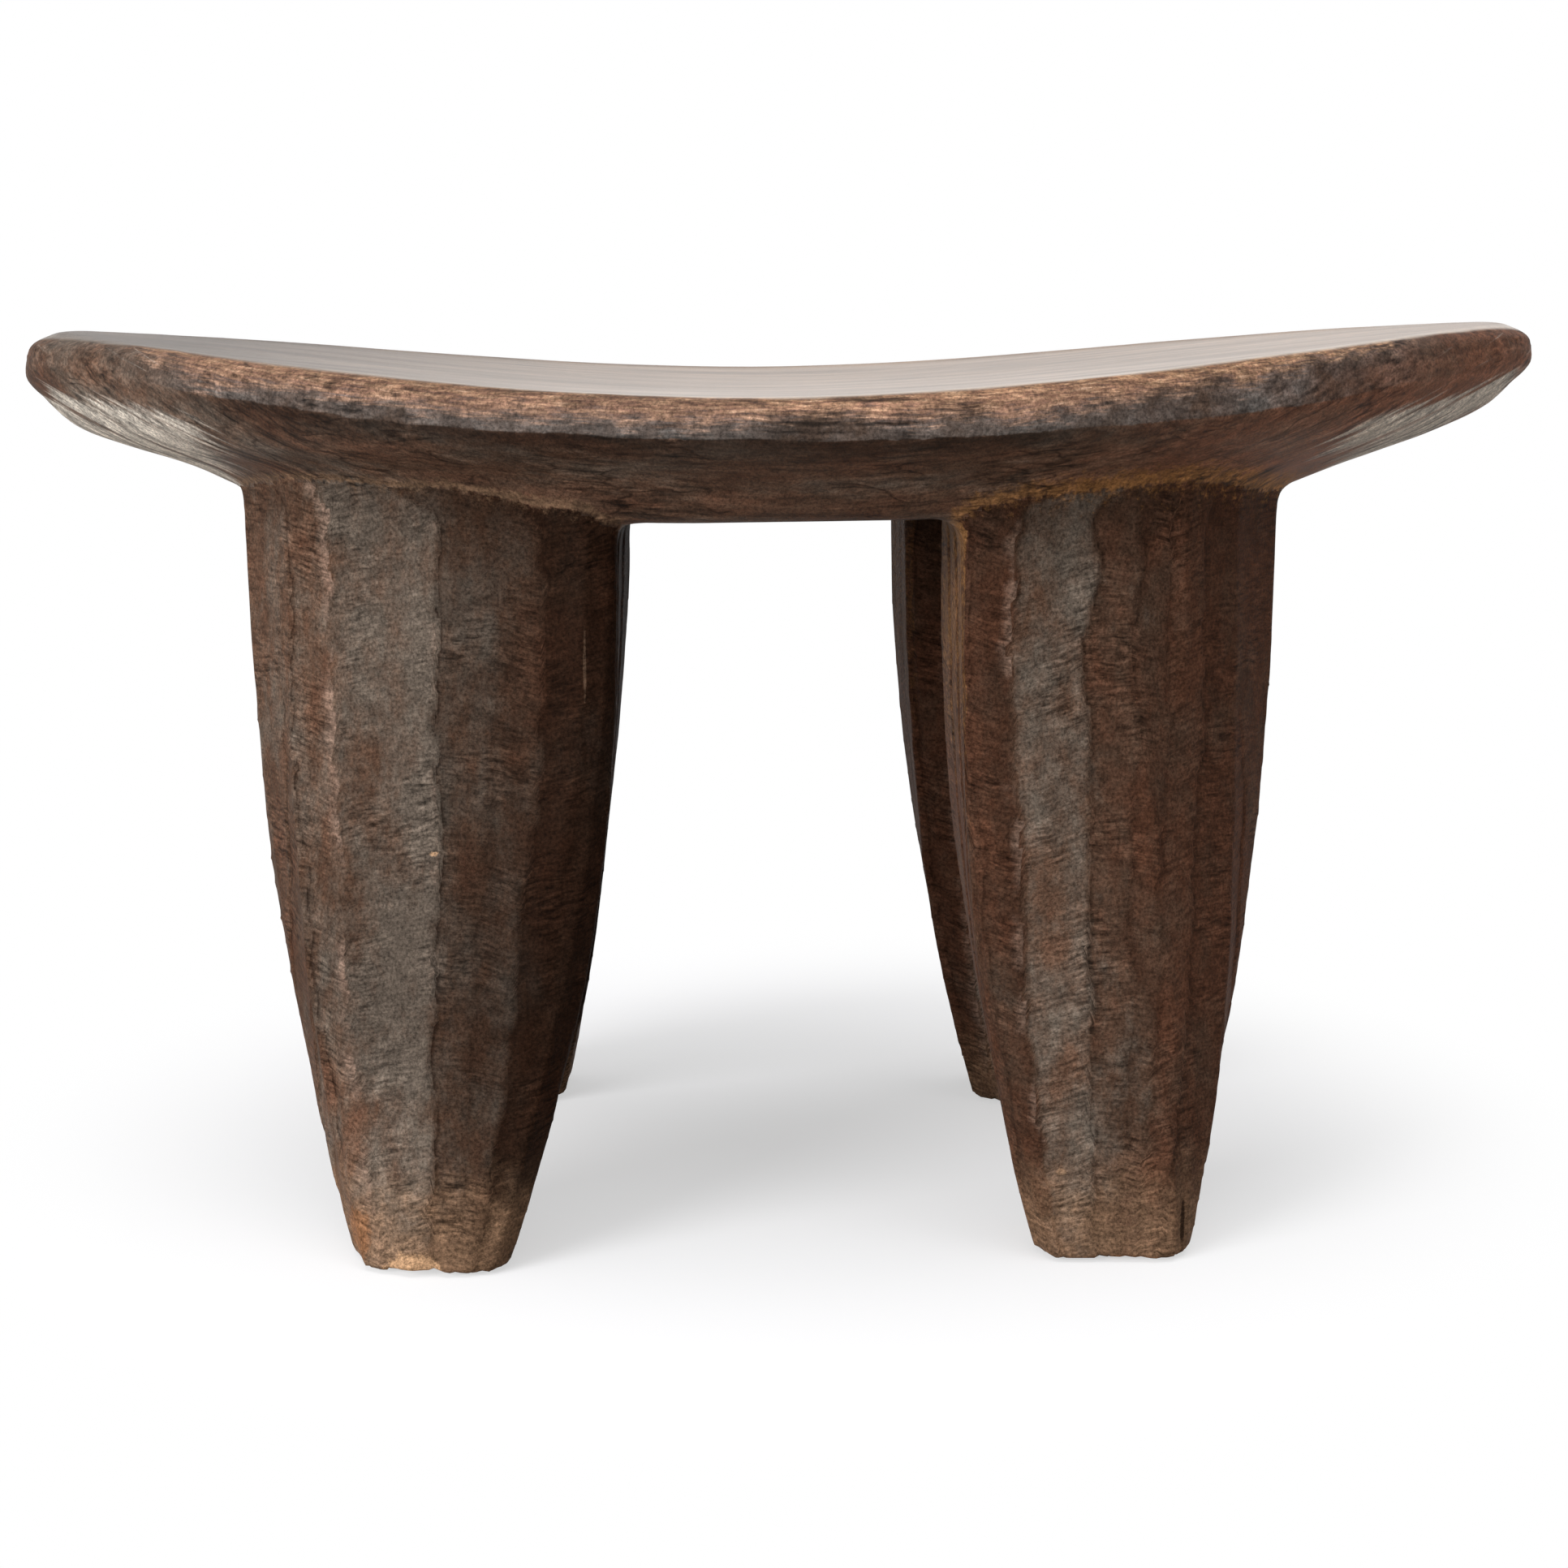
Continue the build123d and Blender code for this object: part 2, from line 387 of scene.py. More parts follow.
def legCut(values, i, place, sideways, owner, edges):
    # Facets at one point of a leg, by its place in mm; returns how deep they cut
    x, y, z = place
    heights, left, right = edges[owner]
    leftEdge, rightEdge = np.interp(z, heights, left), np.interp(z, heights, right)
    wander = 0.02 * noise.noise((x / 40, z / 9, owner))
    wander += 0.025 * noise.noise((x / 60, z / 38, owner))
    width = rightEdge - leftEdge
    facets = leftFacets if owner in (1, 3) else rightFacets
    front = onFacet(facets, (x - leftEdge) / width + wander, width)
    depth = width * 0.75
    inner = 32 + 0.1 * (240 - z)         # the inner face, in mm from the middle of the stool
    side = onFacet(sideFacets, (abs(y) - inner) / depth + 2 * wander, depth)
    turn = float(eased(sideways, 0.8, 0.93))
    nearest = side if turn > 0.5 else front
    for key in ("after", "before", "crack", "wear", "slant"):
        values[key][i] = nearest[key]
    values["shade"][i] = front["shade"] * (1 - turn + turn * side["shade"])
    values["tone"][i] = front["tone"] + turn * side["tone"]
    return front["depth"] * (1 - turn) + side["depth"] * turn


def noiseSpot(place, size):
    return [p / s for p, s in zip(place, size)]


def carve(mesh, far, owners):
    points, normals = meshPoints(mesh), meshNormals(mesh)
    count = len(points)
    values = {key: np.zeros(count) for key in ("tone", "slant", "ridge", "crack", "wear", "inland")}
    values.update({key: np.ones(count) for key in ("shade", "after", "before")})
    values["arris"] = np.full(count, -20.0)
    cut = np.zeros(count)
    shift = np.zeros((count, 3))
    edges = legEdges(points, owners)
    for i in range(count):
        place = Vector(points[i])
        spotMm = points[i] / mm
        onSeat = owners[i] == 0
        facing = normals[i][2]
        spot, _, away = solids[nodeNames[owners[i]]]["lines"].find(place)
        away /= mm
        values["ridge"][i] = math.exp(-(away / block["ridgeReach"]) ** 2)
        size = block["seatScoopSize" if onSeat else "legScoopSize"]
        scooped = noise.voronoi(noiseSpot(spotMm, size))[0][0]
        level = block["dishShare"] if onSeat and facing > 0.5 else 1.0
        cut[i] = level * block["scoop"] * max(0.0, 1 - scooped ** 2)
        cut[i] += block["swell"] * (0.5 + 0.5 * noise.noise(noiseSpot(spotMm, block["swellSize"])))
        hollow = block["hollow"] * (1 - math.exp(-away / block["hollowReach"]))
        cut[i] += hollow * (0.15 if onSeat and facing > 0.3 else 1.0)
        if onSeat:
            values["arris"][i] = away if place.z > spot.z else -away
            values["inland"][i] = math.hypot(place.x - spot.x, place.y - spot.y) / mm
        else:
            cut[i] += legCut(values, i, spotMm, abs(normals[i][0]), owners[i], edges)
        slow = noise.noise_vector(noiseSpot(spotMm, block["slowSize"]))
        quick = noise.noise_vector(noiseSpot(spotMm, block["quickSize"]))
        shift[i] = (slow + 0.7 * quick) * (0.6 if onSeat else 1.0)
    for middle, size, _, _, deep in marks:
        apart = np.linalg.norm((points / mm - np.array(middle)) / np.array(size), axis=1)
        cut += deep * np.clip(1.3 - apart ** 2, 0, 1)
    calm = 0.25 + 0.75 * eased(far, 1.0, 9.0)          # the creases stay crisp
    cut *= calm
    shift -= normals * (shift * normals).sum(1)[:, None]
    stands = eased(points[:, 2] / mm, 0.0, 12.0)       # and the soles stay flat
    shift *= (calm * stands * block["stray"])[:, None]
    moved = points + (shift - normals * cut[:, None]) * mm
    moved = np.clip(moved, np.array(cadLow), np.array(cadHigh))
    mesh.vertices.foreach_set("co", moved.ravel())
    mesh.update()
    settleDustAndShade(values, points / mm, normals, far, owners)
    for key, value in values.items():
        storeValues(mesh, key, value)


def settleDustAndShade(values, points, normals, far, owners):
    # Where dust has settled and where the heartwood lies, and painted light and shade, with places
    # in mm
    x, z = points[:, 0], points[:, 2]
    onLeg = owners > 0
    leftLeg, rightLeg = onLeg & (x < 0), onLeg & (x > 0)
    dustReach = 8 + 12 * eased(x, 20.0, 150.0)         # more dust at the right
    values["crease"] = np.clip(1 - far / dustReach, 0, 1) * np.where(onLeg, 0.6, 1.0)
    # Down the inner face of the right legs the dust colour also stands in for painted light
    innerRight = rightLeg & (normals[:, 0] < -0.75)    # and down one edge there
    values["crease"][innerRight] += 0.68 * eased(z[innerRight], 60.0, 215.0)

    # Painted shade and light: the legs are darkest under the seat, the left ones paler again
    # towards the feet, and the back right leg paler
    shade = values["shade"]
    shade[leftLeg] *= 0.65 + 0.35 * eased(far[leftLeg], 2.0, 22.0)
    shade[leftLeg] *= 0.74 + 0.26 * eased(z[leftLeg], 90.0, 205.0)
    shade[leftLeg] *= 1.55 - 0.55 * eased(z[leftLeg], 45.0, 80.0)
    shade[rightLeg] *= 0.55 + 0.45 * eased(far[rightLeg], 2.0, 26.0)
    shade[rightLeg] *= 1.03 - 0.05 * eased(z[rightLeg], 130.0, 190.0)
    shade[owners == legNames.index("leg_back_right") + 1] *= 1.6

    # The seat is redder to the right; painted light makes it lighter to the right and under its
    # left tip, and painted shade a little darker again at the very end
    under = ~onLeg & (normals[:, 2] < 0.2)
    redder = eased(x, 30.0, 180.0)
    leftHull = eased(-x, 160.0, 215.0) * (1 - eased(-x, 232.0, 250.0))
    shade[~onLeg] = 1 + 0.25 * redder[~onLeg]
    shade[under] = 1.05 + 0.9 * redder[under] + 0.4 * leftHull[under]
    shade[under] *= 1 - 0.14 * eased(-x[under], 230.0, 248.0)
    values["tone"][~onLeg] = 0.1 - 1.1 * redder[~onLeg]
    values["slope"] = normals[:, 2]
    values["arris"] = np.clip(values["arris"] / 20.0, -1, 3)      # stored in steps of 20 mm
    values["inland"] = np.clip(values["inland"] / 20.0, 0, 2)


def storeValues(mesh, name, values):
    layer = mesh.attributes.new(name, "FLOAT", "POINT")
    layer.data.foreach_set("value", values.astype(np.float32))


def faceOwner(face, owners):
    return min(owners[v.index] for v in face.verts)


def splitPieces(mesh, owners):
    # One piece for each carved part, closed inside the wood along its crease
    normals = meshNormals(mesh)
    storeIndex = mesh.attributes.new("skinIndex", "INT", "POINT")
    storeIndex.data.foreach_set("value", np.arange(len(mesh.vertices)))
    pieces = []
    for k, name in enumerate(nodeNames):
        shell = bmesh.new()
        shell.from_mesh(mesh)
        others = [f for f in shell.faces if faceOwner(f, owners) != k]
        bmesh.ops.delete(shell, geom=others, context="FACES")
        rim = [e for e in shell.edges if e.is_boundary]
        lip = bmesh.ops.extrude_edge_only(shell, edges=rim)["geom"]
        fromSkin = shell.verts.layers.int["skinIndex"]
        for vert in (g for g in lip if isinstance(g, bmesh.types.BMVert)):
            vert.co -= Vector(normals[vert[fromSkin]]) * block["lip"] * mm
        rim = [e for e in shell.edges if e.is_boundary]
        bmesh.ops.holes_fill(shell, edges=rim, sides=0)
        for face in shell.faces:
            face.smooth = True
        part = bpy.data.meshes.new(name + "_carved")
        shell.to_mesh(part)
        shell.free()
        index = np.empty(len(part.vertices), dtype=np.int32)
        part.attributes["skinIndex"].data.foreach_get("value", index)
        part.normals_split_custom_set_from_vertices(normals[index])
        part.attributes.remove(part.attributes["skinIndex"])
        piece = bpy.data.objects.new(name + "_carved", part)
        bpy.context.collection.objects.link(piece)
        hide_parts(name)
        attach(piece, "root")
        pieces.append(piece)
        print("carved", name, len(part.polygons), "faces")
    return pieces


skin = fusedBlock()
print("skin", len(skin.vertices), "points")
far, owners = smoothSkin(skin)
carve(skin, far, owners)
print("carved")
pieces = splitPieces(skin, owners)
bpy.data.meshes.remove(skin)


wood = {
    "red": "#573A2C",              # patina, from red heartwood to grey; the grey is partly a painted sheen
    "brown": "#544034",
    "grey": "#60564D",
    "dark": "#1C0F08",             # painted shade, cracks and dark marks
    "rubbed": "#8C7466",           # worn arrises
    "dustLeft": "#67513F",         # dust in the creases
    "dustRight": "#875F38",
    "ochre": "#896C55",            # scuffed feet
    "chip": "#D2A882",             # fresh wood in chips
    "bare": "#9A6A48",
    "fibreDark": "#463226",        # bare fibres over the rim
    "fibreBrown": "#6B4C38",
    "worn": "#86684C",
    "fibrePale": "#B4957C",
    "rose": "#AD8A80",
    "scrapedSheen": "#CDC5BA",          # under the tips: scrapes, and a painted reflection
    "band": "#625954",             # sapwood above the rim's lower arris
    "bandBrown": "#4B3E36",
    "bandBlue": "#6E6D6B",
    "dishDark": "#5E4A3B",
    "dishPale": "#9C7D62",
    # the dish's pale edge, a painted reflection
    "dishEdgePaintedGlint": "#B39D87",
    "roughness": 0.55,
    "dishRoughness": 0.32,
    "seatGloss": 0.06,
    "legGloss": 0.015,
    "oil": 0.75,                   # wax on the dish
}

# Sizes of the patterns in mm, along the seat, across it and up where there are three. A scale is
# 1000 over the size, as Object coordinates are metres.
pattern = {
    "patch": 24.0,
    "pore": 1.1,                   # real pores are about 0.3 mm, drawn coarser so that they show
    "mottle": 6.0,
    "seatStroke": (30.0, 3.0, 2.0),
    "legStroke": (7.0, 7.0, 1.2),
    "wave": 14.0,                  # how fast the strokes waver, and how far in metres
    "waver": (0.001, 0.001, 0.0032),
    "clear": 22.0,                 # places where the strokes are clear
    "rub": 9.0,
    "grit": 3.2,
    "band": 26.0,
    "split": (42.0, 30.0, 7.0),    # drying cracks
    "fibre": 9.0,
    "scrapeAndSheen": (70.0, 45.0, 1.8),
    "grain": (55.0, 2.6),          # of the dish, along and across it
    "streak": (120.0, 16.0),
    "scuff": 11.0,
    "scuffTop": 60.0,              # how high the feet are scuffed
    "tipFrom": 150.0,              # the tips begin here and are full there, from the middle
    "tipFull": 200.0,
}

carvedKeys = (
    "tone", "slant", "crease", "ridge", "slope", "shade",
    "arris", "inland", "after", "before", "crack", "wear")


def setStops(ramp, stops):
    # Colours of a ramp from left to right, by place and name
    elements = ramp.color_ramp.elements
    for element, (place, key) in zip(elements, (stops[0], stops[-1])):
        element.position, element.color = place, linearColor(wood[key])
    for place, key in stops[1:-1]:
        elements.new(place).color = linearColor(wood[key])


def sharedNodes(tree, isSeat):
    # What several layers of the finish read: places, carved values, common noises and strokes
    place = addNode(tree, "TexCoord").outputs["Object"]
    apart = addNode(tree, "SeparateXYZ", inputs={0: place})
    made = {"place": place}
    made.update({axis: apart.outputs[axis] for axis in ("X", "Y", "Z")})
    for key in carvedKeys:
        made[key] = addNode(tree, "Attribute", {"attribute_name": key}).outputs["Fac"]
    made["alongX"] = addNode(tree, "Math", {"operation": "ABSOLUTE"}, {0: made["X"]})
    noises = (                           # with their detail and roughness
        ("pore", 4.0, 0.75), ("mottle", 3.0, 0.5), ("wave", 2.0, 0.5), ("clear", 3.0, 0.5),
        ("rub", 7.0, 0.75), ("grit", 4.0, 0.8),
        ("band", 5.0, 0.7) if isSeat else ("scuff", 6.0, 0.75))
    for key, detail, rough in noises:
        made[key] = addNode(tree, "TexNoise", inputs={
            "Vector": place, "Scale": 1000 / pattern[key], "Detail": detail, "Roughness": rough})

    # Chatter of the blade: fine lines across the grain on the legs, slanted differently on each
    # facet. Under the seat they follow its hull.
    if isSeat:
        past = addNode(tree, "Math", {"operation": "SUBTRACT", "use_clamp": True}, {
            0: made["alongX"], 1: pattern["tipFrom"] * mm})
        tilted = addNode(tree, "Math", multiplyAdd, {0: past, 1: -0.44, 2: made["Z"]})
    else:
        tilted = addNode(tree, "Math", add, {0: made["slant"], 1: made["Z"]})
    made["lined"] = addNode(tree, "CombineXYZ", inputs={0: made["X"], 1: made["Y"], 2: tilted})
    made["waved"] = addNode(tree, "VectorMath", multiplyAdd, {
        0: made["wave"].outputs["Color"], 1: pattern["waver"], 2: made["lined"]})
    size = pattern["seatStroke" if isSeat else "legStroke"]
    strokeCo = addNode(tree, "VectorMath", multiply, {
        0: made["waved"], 1: [1000 / length for length in size]})
    made["stroke"] = addNode(tree, "TexNoise", inputs={
        "Vector": strokeCo, "Scale": 1.0, "Detail": 2.0, "Roughness": 0.6})
    return made


def patina(tree, made, isSeat):
    # Patches of red heartwood, brown and grey, each facet a little apart from its neighbours; the
    # grey is partly a painted sheen
    longer = (0.4, 1.0, 1.0) if isSeat else (1.0, 1.0, 0.6)
    tall = addNode(tree, "VectorMath", multiply, {0: made["place"], 1: longer})
    patches = addNode(tree, "TexNoise", inputs={
        "Vector": tall, "Scale": 1000 / pattern["patch"], "Detail": 6.0, "Roughness": 0.7})
    calmer = addNode(tree, "MapRange", inputs={0: patches, 1: 0.25, 2: 0.75, 3: 0.3, 4: 0.7})
    shifted = addNode(tree, "Math", multiplyAdd, {0: made["tone"], 1: 0.14, 2: calmer})
    base = addNode(tree, "ValToRGB", inputs={0: shifted})
    setStops(base, ((0.34, "red"), (0.5, "brown"), (0.66, "grey")))

    # A shade above 1 lightens it as painted light, and one below 1 lays painted shade over it
    lighter = addNode(tree, "Math", larger, {0: made["shade"], 1: 1.0})
    paintedShadeShare = addNode(tree, "MapRange", inputs={0: made["shade"], 1: 0.0, 2: 1.0, 3: 1.0, 4: 0.0})
    lit = addNode(tree, "VectorMath", {"operation": "SCALE"}, {0: base, "Scale": lighter})
    return addNode(tree, "Mix", ofColours, {
        0: paintedShadeShare, 6: lit, 7: linearColor(wood["dark"])}).outputs[2]


def toolLevel(tree, made, isSeat):
    # Light and dark of open pores, of mottled wood and of the strokes that aren't rubbed away
    pores = addNode(tree, "MapRange", inputs={0: made["pore"], 1: 0.36, 2: 0.64, 3: 0.5, 4: 1.5})
    mottle = addNode(tree, "MapRange", inputs={
        0: made["mottle"], 1: 0.3, 2: 0.7, 3: 0.78, 4: 1.22})
    least, contrast = (0.35, 0.8) if isSeat else (0.2, 0.7)
    clearness = addNode(tree, "MapRange", smooth, {
        0: made["clear"], 1: 0.38, 2: 0.66, 3: least, 4: 1.0})
    strokes = addNode(tree, "MapRange", inputs={
        0: made["stroke"], 1: 0.3, 2: 0.7, 3: -contrast, 4: contrast})
    strokes = addNode(tree, "Math", multiplyAdd, {0: strokes, 1: clearness, 2: 1.0})
    level = addNode(tree, "Math", multiply, {0: pores, 1: strokes})
    return addNode(tree, "Math", multiply, {0: level, 1: mottle})


def wornArrises(tree, made, colour, isSeat):
    # Paler and redder where handling has rubbed through the patina, in broken flecks
    if isSeat:
        rubbed = addNode(tree, "Math", multiply, {0: made["ridge"], 1: made["rub"]})
        share = addNode(tree, "MapRange", smooth, {0: rubbed, 1: 0.4, 2: 0.7, 3: 0.0, 4: 0.4})
    else:
        rubbed = addNode(tree, "MapRange", inputs={
            0: made["before"], 1: 0.0, 2: 0.65, 3: 1.0, 4: 0.0})
        gaps = addNode(tree, "MapRange", smooth, {
            0: made["clear"], 1: 0.4, 2: 0.56, 3: 0.35, 4: 1.1})
        for factor in (made["wear"], gaps, made["rub"]):
            rubbed = addNode(tree, "Math", multiply, {0: rubbed, 1: factor})
        share = addNode(tree, "MapRange", smooth, {0: rubbed, 1: 0.15, 2: 0.5, 3: 0.0, 4: 0.6})
    return addNode(tree, "Mix", ofColours, {
        0: share, 6: colour, 7: linearColor(wood["rubbed"])}).outputs[2]


def creaseDust(tree, made, colour):
    # Ochre dust caught in the creases under the seat, in grains
    dusty = addNode(tree, "Math", multiplyAdd, {0: made["grit"], 1: 1.5, 2: made["crease"]})
    share = addNode(tree, "MapRange", smooth, {0: dusty, 1: 1.2, 2: 1.65, 3: 0.0, 4: 0.85})
    toRight = addNode(tree, "MapRange", inputs={0: made["X"], 1: -0.05, 2: 0.1, 3: 0.0, 4: 1.0})
    dust = addNode(tree, "Mix", ofColours, {
        0: toRight, 6: linearColor(wood["dustLeft"]), 7: linearColor(wood["dustRight"])})
    return addNode(tree, "Mix", ofColours, {0: share, 6: colour, 7: dust.outputs[2]}).outputs[2]


def hullLayers(tree, made, colour):
    # The underside gets painted shade just below the arris, and grey sapwood shows in a band above
    # it
    dark = linearColor(wood["dark"])
    nearMiddle = addNode(tree, "MapRange", smooth, {
        0: made["alongX"], 1: 0.15, 2: 0.23, 3: 1.0, 4: 0.0})
    notRight = addNode(tree, "MapRange", smooth, {0: made["X"], 1: 0.06, 2: 0.13, 3: 1.0, 4: 0.35})
    under = addNode(tree, "MapRange", smooth, {
        0: made["arris"], 1: -0.8, 2: -0.02, 3: 0.0, 4: 0.75})
    for factor in (nearMiddle, notRight):
        under = addNode(tree, "Math", multiply, {0: under, 1: factor})
    above = addNode(tree, "MapRange", smooth, {
        0: made["arris"], 1: -0.02, 2: 0.03, 3: 0.0, 4: 0.85})
    above = addNode(tree, "Math", multiply, {0: above, 1: nearMiddle})
    band = addNode(tree, "ValToRGB", inputs={0: made["band"]})
    setStops(band, ((0.36, "bandBrown"), (0.5, "band"), (0.68, "bandBlue")))
    colour = addNode(tree, "Mix", ofColours, {0: under, 6: colour, 7: dark}).outputs[2]
    colour = addNode(tree, "Mix", ofColours, {0: above, 6: colour, 7: band}).outputs[2]

    # Drying cracks along its grain
    splitCo = addNode(tree, "VectorMath", multiply, {
        0: made["waved"], 1: [1000 / length for length in pattern["split"]]})
    split = addNode(tree, "TexNoise", inputs={
        "Vector": splitCo, "Scale": 1.0, "Detail": 2.5, "Roughness": 0.6})
    split = addNode(tree, "Math", subtract, {0: split, 1: 0.5})
    split = addNode(tree, "Math", {"operation": "ABSOLUTE"}, {0: split})
    split = addNode(tree, "MapRange", inputs={0: split, 1: 0.0, 2: 0.022, 3: 1.0, 4: 0.0})
    wide = addNode(tree, "MapRange", smooth, {0: made["clear"], 1: 0.46, 2: 0.56, 3: 0.0, 4: 0.75})
    lower = addNode(tree, "MapRange", inputs={0: made["arris"], 1: -0.1, 2: 0.1, 3: 1.0, 4: 0.0})
    for factor in (wide, lower):
        split = addNode(tree, "Math", multiply, {0: split, 1: factor})
    return addNode(tree, "Mix", ofColours, {0: split, 6: colour, 7: dark}).outputs[2]


def rimFibres(tree, made, colour):
    # Bare fibrous wood over the rounded top edge, in fine streaks along the grain
    around = addNode(tree, "Math", multiplyAdd, {0: made["Y"], 1: 0.6, 2: made["X"]})
    uphill = addNode(tree, "Math", multiplyAdd, {0: made["wave"], 1: 0.08, 2: made["arris"]})
    fibreCo = addNode(tree, "CombineXYZ", inputs={0: around, 2: uphill})
    fibreCo = addNode(tree, "VectorMath", multiply, {
        0: fibreCo, 1: (1000 / pattern["fibre"], 1.0, 20.0)})    # 20 of them to a step of the arris
    fibre = addNode(tree, "TexNoise", inputs={
        "Vector": fibreCo, "Scale": 1.0, "Detail": 5.0, "Roughness": 0.65})
    fibreColour = addNode(tree, "ValToRGB", inputs={0: fibre})
    setStops(fibreColour, (
        (0.35, "fibreDark"), (0.46, "fibreBrown"), (0.57, "worn"), (0.7, "fibrePale")))

    # Pinker low down, and lighter to the right as painted light
    rose = addNode(tree, "MapRange", inputs={0: made["arris"], 1: 0.1, 2: 0.9, 3: 0.6, 4: 0.0})
    rose = addNode(tree, "Math", multiply, {0: rose, 1: fibre})
    tinted = addNode(tree, "Mix", ofColours, {
        0: rose, 6: fibreColour, 7: linearColor(wood["rose"])}).outputs[2]
    paintedLightRight = addNode(tree, "MapRange", inputs={0: made["X"], 1: -0.05, 2: 0.1, 3: 1.05, 4: 1.4})
    lit = addNode(tree, "VectorMath", {"operation": "SCALE"}, {0: tinted, "Scale": paintedLightRight})

    # More of it higher up, and less at the tips and at the right
    fewer = addNode(tree, "MapRange", smooth, {
        0: made["alongX"], 1: 0.18, 2: 0.245, 3: 0.0, 4: -0.55})
    fewerRight = addNode(tree, "MapRange", smooth, {
        0: made["X"], 1: 0.08, 2: 0.19, 3: 0.0, 4: -0.4})
    fewer = addNode(tree, "Math", add, {0: fewer, 1: fewerRight})
    low = addNode(tree, "Math", {"operation": "MINIMUM"}, {0: made["arris"], 1: 1.0})
    height = addNode(tree, "Math", multiplyAdd, {0: made["band"], 1: 1.3, 2: low})
    worn = addNode(tree, "Math", add, {0: height, 1: fewer})
    worn = addNode(tree, "Math", multiplyAdd, {0: fibre, 1: 0.9, 2: worn})
    share = addNode(tree, "MapRange", smooth, {0: worn, 1: 1.2, 2: 1.6, 3: 0.0, 4: 0.92})
    return addNode(tree, "Mix", ofColours, {0: share, 6: colour, 7: lit}).outputs[2]


def tipScrapesAndSheen(tree, made, colour):
    # Pale streaks under the tips, fewer behind: scrapes in part, and in part a painted reflection
    # of the bright surroundings
    atTip = addNode(tree, "MapRange", smooth, {
        0: made["alongX"], 1: pattern["tipFrom"] * mm, 2: pattern["tipFull"] * mm,
        3: -1.3, 4: 0.3})
    below = addNode(tree, "MapRange", smooth, {
        0: made["arris"], 1: -0.85, 2: -0.2, 3: 0.0, 4: -0.9})
    behind = addNode(tree, "MapRange", inputs={0: made["Y"], 1: 0.0, 2: 0.08, 3: 0.0, 4: -0.35})
    scrapeAndSheenCo = addNode(tree, "VectorMath", multiply, {
        0: made["lined"], 1: [1000 / length for length in pattern["scrapeAndSheen"]]})
    scrapeAndSheen = addNode(tree, "TexNoise", inputs={
        "Vector": scrapeAndSheenCo, "Scale": 1.0, "Detail": 4.0, "Roughness": 0.6})
    scrapedSheen = addNode(tree, "Math", multiplyAdd, {0: scrapeAndSheen, 1: 3.0, 2: atTip})
    for part in (below, behind):
        scrapedSheen = addNode(tree, "Math", add, {0: scrapedSheen, 1: part})
    share = addNode(tree, "MapRange", smooth, {0: scrapedSheen, 1: 1.2, 2: 1.95, 3: 0.0, 4: 0.92})
    return addNode(tree, "Mix", ofColours, {
        0: share, 6: colour, 7: linearColor(wood["scrapedSheen"])}).outputs[2]


